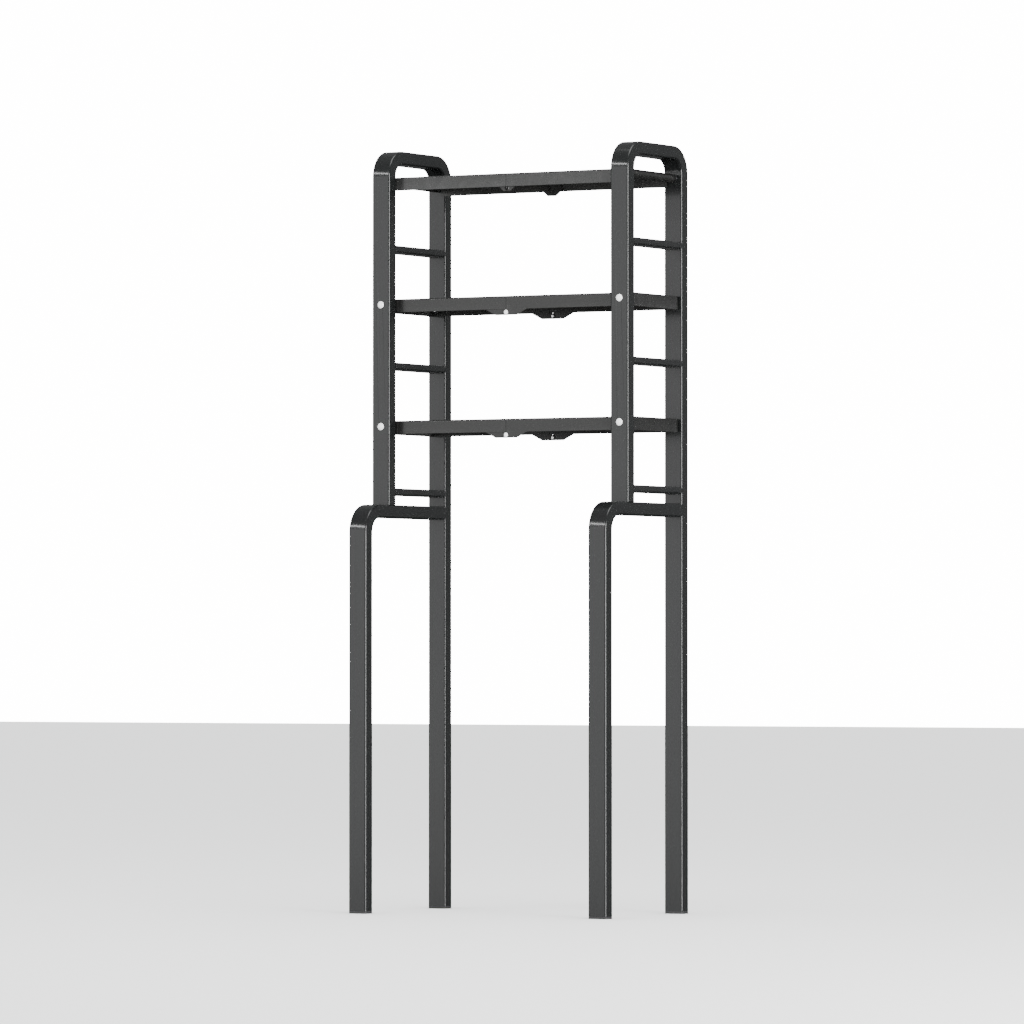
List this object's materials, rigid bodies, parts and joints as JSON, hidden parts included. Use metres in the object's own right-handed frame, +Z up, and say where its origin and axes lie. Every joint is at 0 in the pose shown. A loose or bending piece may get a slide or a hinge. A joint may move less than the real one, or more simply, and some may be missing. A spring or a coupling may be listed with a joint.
{
  "type": "over toilet storage rack",
  "caption": "Free-standing folding rack of bent tube with three sheet metal shelves, made to stand over a toilet.",
  "frame": {"origin": "on the floor, under the middle of the rack's box", "axes": "+X along the shelves to the right, +Y to the wall behind, +Z up"},
  "size_m": [0.578, 0.3334, 1.5],
  "materials": {
    "frame_black": "semi gloss powder coat",
    "shelf_black": "semi gloss powder coat",
    "bright_pin": "bright nickel plate",
    "dark_hardware": "black zinc",
    "black_plastic": "matt moulded plastic"
  },
  "bodies": {
    "right_frame": {"right_hoop": "frame_black", "right_front_leg": "frame_black", "right_top_rod": "frame_black", "right_rod_collars": "dark_hardware", "right_foot_plugs": "black_plastic", "right_pivot_bolts": "bright_pin", "right_pivot_nuts": "dark_hardware", "right_pivot_washers": "dark_hardware", "right_rung_one": "frame_black", "right_rung_two": "frame_black", "right_rung_three": "frame_black"},
    "left_frame": {"left_hoop": "frame_black", "left_front_leg": "frame_black", "left_top_rod": "frame_black", "left_rod_collars": "dark_hardware", "left_foot_plugs": "black_plastic", "left_pivot_bolts": "bright_pin", "left_pivot_nuts": "dark_hardware", "left_pivot_washers": "dark_hardware", "left_rung_one": "frame_black", "left_rung_two": "frame_black", "left_rung_three": "frame_black"},
    "top_half_right": {"top_shelf_right": "shelf_black", "top_hinge_plates_right": "frame_black"},
    "top_half_left": {"top_shelf_left": "shelf_black", "top_hinge_plates_left": "frame_black", "top_centre_rivets": "bright_pin"},
    "mid_half_right": {"mid_shelf_right": "shelf_black"},
    "mid_half_left": {"mid_shelf_left": "shelf_black", "mid_hinge_plates_left": "frame_black", "mid_centre_rivets": "bright_pin"},
    "lower_half_right": {"lower_shelf_right": "shelf_black"},
    "lower_half_left": {"lower_shelf_left": "shelf_black", "lower_hinge_plates_left": "frame_black", "lower_centre_rivets": "bright_pin"}
  },
  "joints": [
    {"name": "mid_right_pivot", "type": "hinge", "parent": "right_frame", "child": "mid_half_right", "pos_m": [0.269, 0, 1.195], "axis": [0, 1, 0], "range_deg": [0, 32]},
    {"name": "mid_centre_pivot", "type": "hinge", "parent": "mid_half_right", "child": "mid_half_left", "pos_m": [0, 0, 1.175], "axis": [0, 1, 0], "range_deg": [-64, 0]},
    {"name": "mid_left_pivot", "type": "hinge", "parent": "mid_half_left", "child": "left_frame", "pos_m": [-0.269, 0, 1.195], "axis": [0, 1, 0], "range_deg": [0, 32]},
    {"name": "lower_right_pivot", "type": "hinge", "parent": "right_frame", "child": "lower_half_right", "pos_m": [0.269, 0, 0.955], "axis": [0, 1, 0], "range_deg": [0, 32]},
    {"name": "lower_centre_pivot", "type": "hinge", "parent": "lower_half_right", "child": "lower_half_left", "pos_m": [0, 0, 0.935], "axis": [0, 1, 0], "range_deg": [-64, 0]},
    {"name": "top_right_pivot", "type": "hinge", "parent": "right_frame", "child": "top_half_right", "pos_m": [0.269, 0, 1.438], "axis": [0, 1, 0], "range_deg": [0, 32]},
    {"name": "top_centre_pivot", "type": "hinge", "parent": "top_half_right", "child": "top_half_left", "pos_m": [0, 0, 1.418], "axis": [0, 1, 0], "range_deg": [-64, 0]}
  ],
  "couplings": [
    {"joint": "mid_centre_pivot", "follows": "mid_right_pivot", "ratio": -2},
    {"joint": "lower_right_pivot", "follows": "mid_right_pivot", "ratio": 1},
    {"joint": "lower_centre_pivot", "follows": "mid_right_pivot", "ratio": -2},
    {"joint": "top_right_pivot", "follows": "mid_right_pivot", "ratio": 1},
    {"joint": "top_centre_pivot", "follows": "mid_right_pivot", "ratio": -2},
    {"joint": "mid_left_pivot", "follows": "mid_right_pivot", "ratio": 1}
  ]
}
